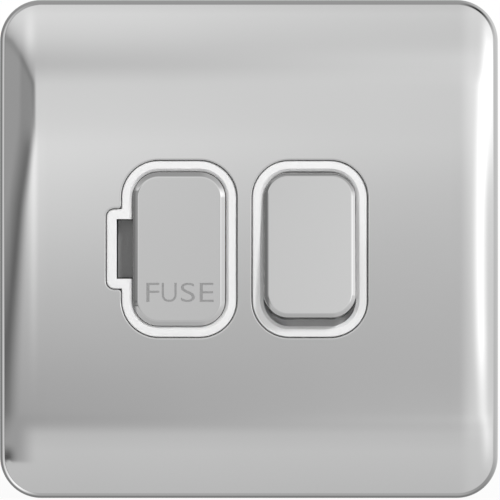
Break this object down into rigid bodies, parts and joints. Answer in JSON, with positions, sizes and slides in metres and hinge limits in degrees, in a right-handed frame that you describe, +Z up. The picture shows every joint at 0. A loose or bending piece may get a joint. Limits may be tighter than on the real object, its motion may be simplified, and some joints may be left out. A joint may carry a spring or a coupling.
{
  "type": "fused spur unit",
  "caption": "Square screwless wall plate with a double-pole rocker switch and a pull-out cartridge fuse carrier, terminals in a rear housing.",
  "frame": {"origin": "midpoint between the two box-screw holes, on the wall plane", "axes": "+X to the right seen from the front, +Z up, -Y out of the wall towards the user"},
  "size_m": [0.087, 0.033, 0.087],
  "materials": {
    "polished_chrome": "mirror-polished chrome plate",
    "white_plastic": "smooth white moulding",
    "dark_plastic": "dark grey moulding, fine matt texture",
    "grey_plastic": "mid-grey moulding, fine matt texture",
    "zinc_steel": "zinc-plated steel sheet",
    "screw_steel": "zinc-plated screws",
    "brass": "plain brass",
    "spring_steel": "bright spring wire",
    "phosphor_bronze": "rolled spring bronze",
    "silver_alloy": "contact silver",
    "nylon": "natural nylon",
    "fuse_ceramic": "unglazed ceramic tube",
    "fuse_nickel": "nickel-plated caps"
  },
  "bodies": {
    "base": {"insert_frame": "white_plastic", "mounting_yoke": "zinc_steel", "rear_housing": "dark_plastic", "housing_screws": "screw_steel", "plate_earth_spring": "phosphor_bronze", "line_link": "brass", "load_neutral_bar": "brass", "supply_line_bar": "brass", "supply_neutral_bar": "brass", "load_line_bar": "brass", "fixed_contact_tips": "silver_alloy", "upper_fuse_clip": "phosphor_bronze", "lower_fuse_clip": "phosphor_bronze", "terminal_screws": "screw_steel", "supply_earth_terminal": "brass", "supply_line_terminal": "brass", "supply_neutral_terminal": "brass", "load_line_terminal": "brass", "load_earth_terminal": "brass", "load_neutral_terminal": "brass"},
    "front_plate": {"front_plate": "polished_chrome"},
    "rocker": {"rocker_cap": "polished_chrome", "rocker_cradle": "white_plastic", "line_spring": "spring_steel", "neutral_spring": "spring_steel"},
    "line_plunger": {"line_plunger": "nylon"},
    "neutral_plunger": {"neutral_plunger": "nylon"},
    "line_contact": {"line_moving_contact": "brass", "line_moving_tip": "silver_alloy"},
    "neutral_contact": {"neutral_moving_contact": "brass", "neutral_moving_tip": "silver_alloy"},
    "fuse_carrier": {"fuse_carrier_cap": "polished_chrome", "fuse_carrier_drawer": "grey_plastic", "fuse_barrel": "fuse_ceramic", "fuse_end_caps": "fuse_nickel"}
  },
  "joints": [
    {"name": "rocker_tilt", "type": "hinge", "parent": "base", "child": "rocker", "pos_m": [0.0106, -0.0009, 0], "axis": [1, 0, 0], "range_deg": [0, 12]},
    {"name": "line_contact_tilt", "type": "hinge", "parent": "base", "child": "line_contact", "pos_m": [0.0062, 0.0086, 0], "axis": [1, 0, 0], "range_deg": [-21, 0]},
    {"name": "line_plunger_slide", "type": "slide", "parent": "rocker", "child": "line_plunger", "axis": [0, -0.9945, 0.1045], "range_m": [0, 0.0006], "stiffness_N_per_m": 600, "deforming": ["line_spring"]},
    {"name": "neutral_contact_tilt", "type": "hinge", "parent": "base", "child": "neutral_contact", "pos_m": [0.015, 0.0086, 0], "axis": [1, 0, 0], "range_deg": [-21, 0]},
    {"name": "neutral_plunger_slide", "type": "slide", "parent": "rocker", "child": "neutral_plunger", "axis": [0, -0.9945, 0.1045], "range_m": [0, 0.0006], "stiffness_N_per_m": 600, "deforming": ["neutral_spring"]},
    {"name": "fuse_carrier_slide", "type": "slide", "parent": "base", "child": "fuse_carrier", "axis": [0, -1, 0], "range_m": [0, 0.022]},
    {"name": "front_plate_unclip", "type": "slide", "parent": "base", "child": "front_plate", "axis": [0, -1, 0], "range_m": [0, 0.02]}
  ],
  "couplings": [
    {"joint": "line_contact_tilt", "follows": "rocker_tilt", "ratio": -1.75},
    {"joint": "neutral_contact_tilt", "follows": "rocker_tilt", "ratio": -1.75}
  ]
}
